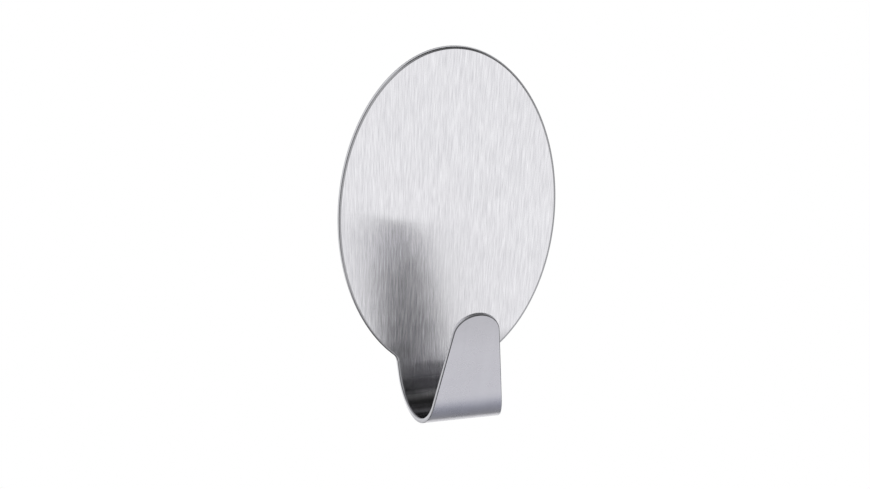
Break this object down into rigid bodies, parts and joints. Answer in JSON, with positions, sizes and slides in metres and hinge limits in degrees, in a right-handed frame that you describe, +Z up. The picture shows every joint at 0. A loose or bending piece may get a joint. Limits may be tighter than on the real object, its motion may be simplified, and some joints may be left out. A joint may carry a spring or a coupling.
{
  "type": "adhesive wall hook",
  "caption": "Oval brushed stainless steel wall hook: a flat plate whose bottom runs into a tapered tongue bent forward and up, backed by a foam adhesive pad with a peel-off paper liner.",
  "frame": {"origin": "on the outer face of the release liner, which is the wall side, behind the middle of the oval plate", "axes": "+Z up along the oval's long axis, +Y out of the back into the wall, so the hook points to -Y; +X to the right seen from the front"},
  "size_m": [0.05, 0.0248, 0.0834],
  "materials": {
    "steel": "satin",
    "adhesive": "gloss",
    "foam": "matte",
    "liner_paper": "satin"
  },
  "bodies": {
    "hook": {"hook_plate": "steel", "plate_adhesive": "adhesive", "foam_pad": "foam", "wall_adhesive": "adhesive"},
    "liner": {"release_liner": "liner_paper"}
  },
  "joints": [
    {"name": "liner_pull", "type": "slide", "parent": "hook", "child": "liner", "axis": [0, 1, 0], "range_m": [0, 0.03]}
  ]
}
